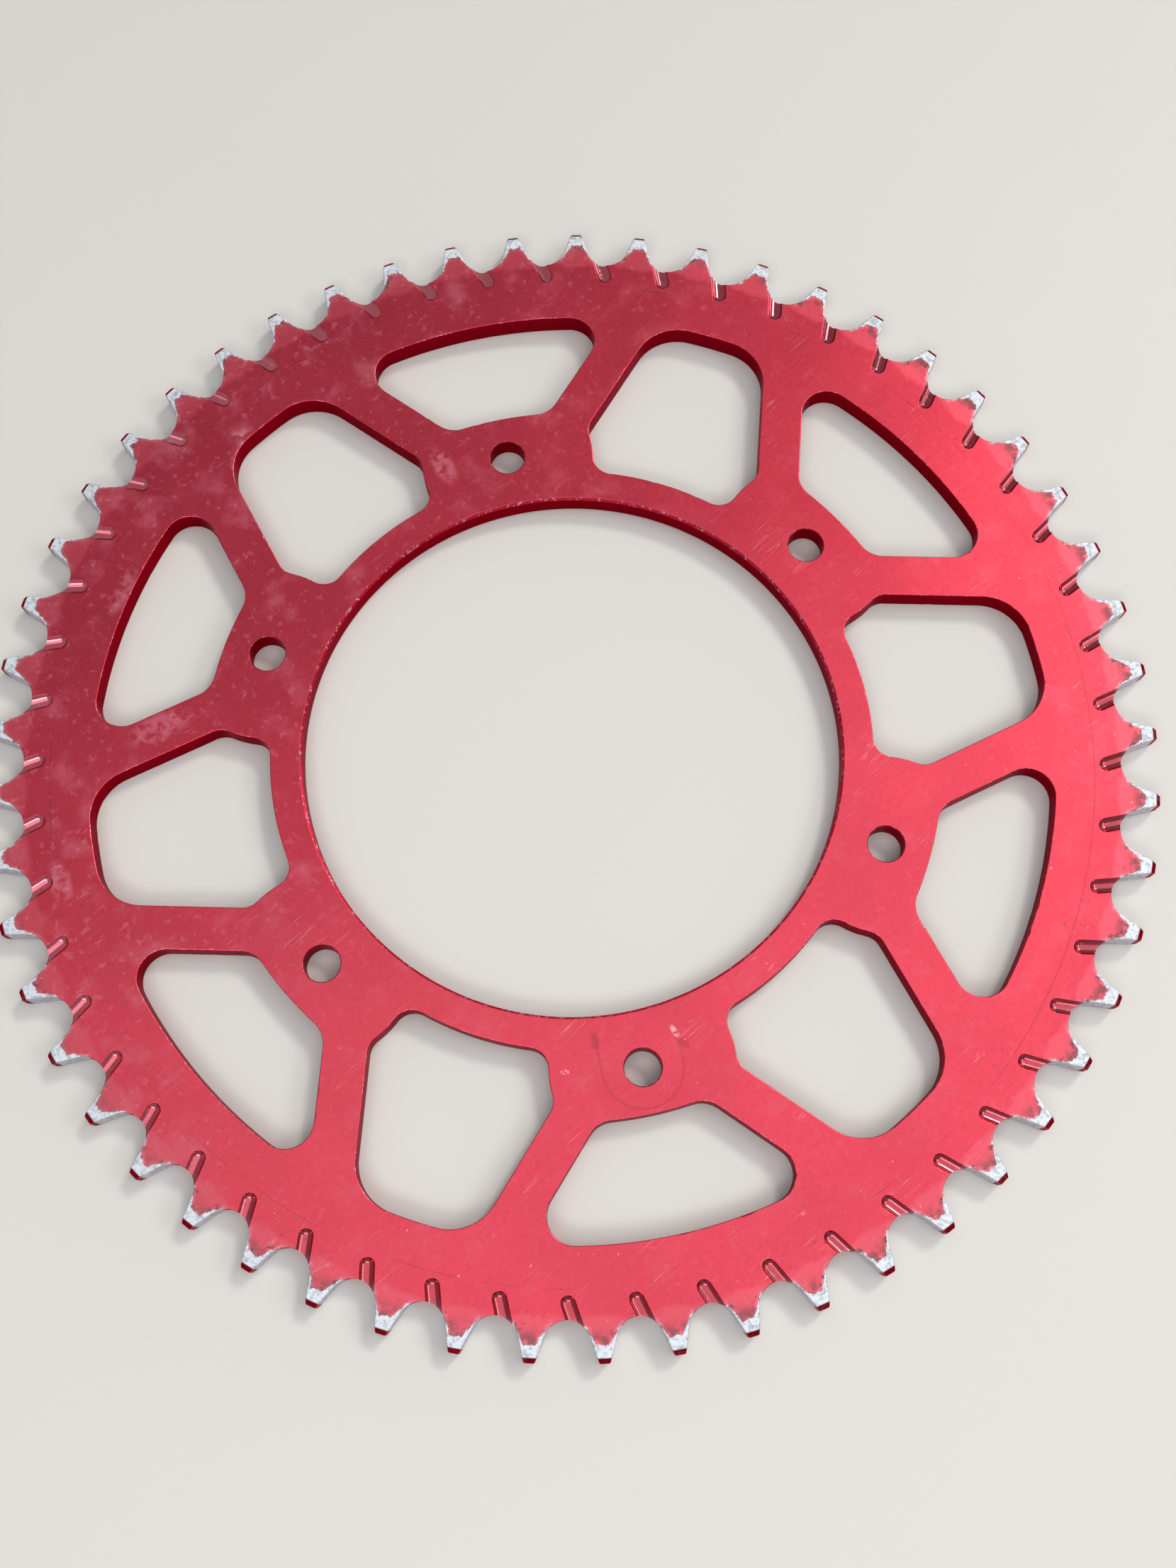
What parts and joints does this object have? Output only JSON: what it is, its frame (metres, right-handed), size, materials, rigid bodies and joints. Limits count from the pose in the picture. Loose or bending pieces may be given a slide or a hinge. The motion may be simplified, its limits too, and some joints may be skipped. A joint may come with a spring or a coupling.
{
  "type": "rear sprocket",
  "caption": "Flat machined chain sprocket with a large central bore, a ring of bolt holes, a lattice of open windows between slanted spokes, and slanted mud grooves below the teeth.",
  "frame": {"origin": "centre of the bore on the hub face, which is the plain back of the plate", "axes": "+Z along the wheel axis towards the outer face with the mud grooves; +X through one bolt hole and the middle of one tooth; +Y completes a right-handed frame in the plane of the plate"},
  "size_m": [0.276, 0.2762, 0.006],
  "materials": {
    "anodised_plate": "satin red anodising over machined aluminium, worn to bare metal on the tooth flanks and round the rim below the tips"
  },
  "bodies": {
    "root": {"sprocket_plate": "anodised_plate"}
  },
  "joints": []
}
